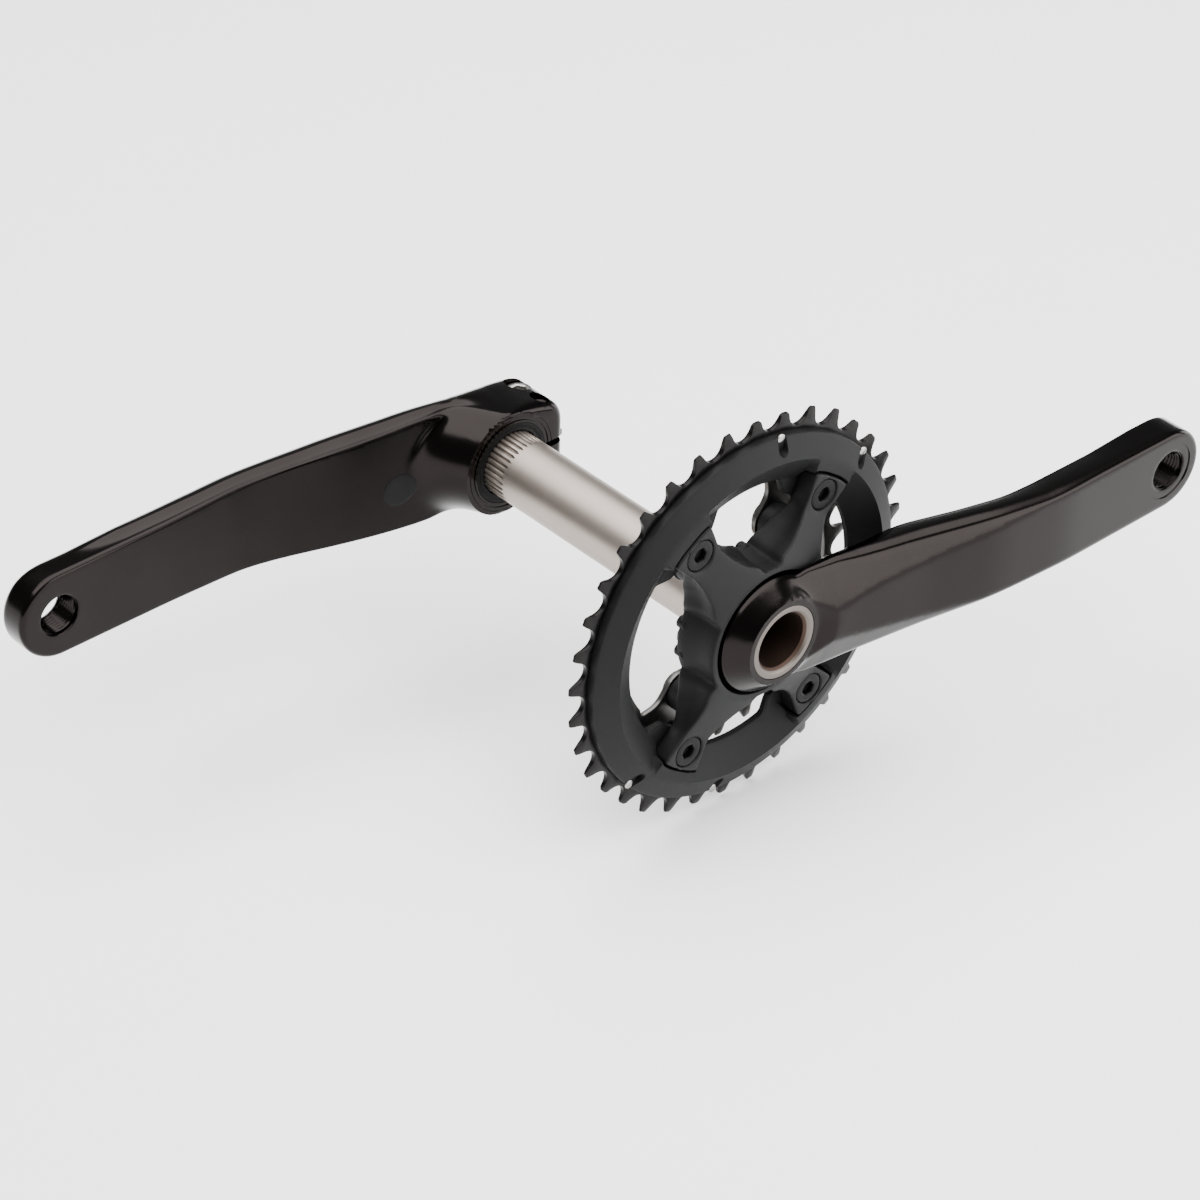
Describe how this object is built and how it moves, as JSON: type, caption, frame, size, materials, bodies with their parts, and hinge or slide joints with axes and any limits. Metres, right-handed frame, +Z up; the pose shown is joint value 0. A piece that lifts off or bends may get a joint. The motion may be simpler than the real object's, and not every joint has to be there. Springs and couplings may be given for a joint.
{
  "type": "bicycle crankset",
  "caption": "Double-chainring bicycle crankset: forged arms on a hollow splined spindle, spider, toothed rings, and a pinch-clamped left arm with stopper plate and preload cap.",
  "frame": {"origin": "on the spindle's axis at the middle of the bottom bracket, halfway along the spindle's journal", "axes": "+X along the drive-side arm, +Y along the spindle from the chainrings towards the left arm, +Z up"},
  "size_m": [0.3706, 0.1906, 0.1492],
  "materials": {
    "anodised_black": "glossy black paint over forged aluminium",
    "matte_black": "matte black coating over aluminium",
    "ring_steel": "dark plated stamped steel",
    "satin_steel": "satin nickel plating",
    "black_steel": "black oxide",
    "bright_steel": "bright zinc plating",
    "seal_rubber": "matte rubber",
    "cap_plastic": "moulded black plastic"
  },
  "bodies": {
    "drive_side": {"spindle": "satin_steel", "right_crank_arm": "anodised_black", "spider": "matte_black", "outer_chainring": "matte_black", "inner_chainring": "ring_steel", "chainring_bolt_1": "black_steel", "chainring_bolt_2": "black_steel", "chainring_bolt_3": "black_steel", "chainring_bolt_4": "black_steel", "chainring_nut_1": "black_steel", "chainring_nut_2": "black_steel", "chainring_nut_3": "black_steel", "chainring_nut_4": "black_steel", "inner_ring_bolt_1": "black_steel", "inner_ring_bolt_2": "black_steel", "inner_ring_bolt_3": "black_steel", "inner_ring_bolt_4": "black_steel", "shift_pin_1": "bright_steel", "shift_pin_2": "bright_steel", "shift_pin_3": "bright_steel", "shift_pin_4": "bright_steel", "chain_drop_pin": "bright_steel"},
    "left_arm": {"left_crank_arm": "anodised_black", "left_arm_seal": "seal_rubber", "pinch_bolt_outboard": "bright_steel", "pinch_bolt_inboard": "bright_steel", "pinch_washer_outboard": "bright_steel", "pinch_washer_inboard": "bright_steel"},
    "stopper": {"stopper_plate": "cap_plastic", "stopper_pin": "bright_steel"},
    "cap": {"preload_cap": "cap_plastic"}
  },
  "joints": [
    {"name": "left_arm_slide", "type": "slide", "parent": "drive_side", "child": "left_arm", "axis": [0, 1, 0], "range_m": [-0.013, 0.045]},
    {"name": "stopper_plate_swing", "type": "hinge", "parent": "left_arm", "child": "stopper", "pos_m": [0.0175, 0.078, 0], "axis": [0, 0, 1], "range_deg": [-16, 3]},
    {"name": "preload_cap_turn", "type": "hinge", "parent": "left_arm", "child": "cap", "pos_m": [0, 0.082, 0], "axis": [0, 1, 0], "continuous": true}
  ]
}
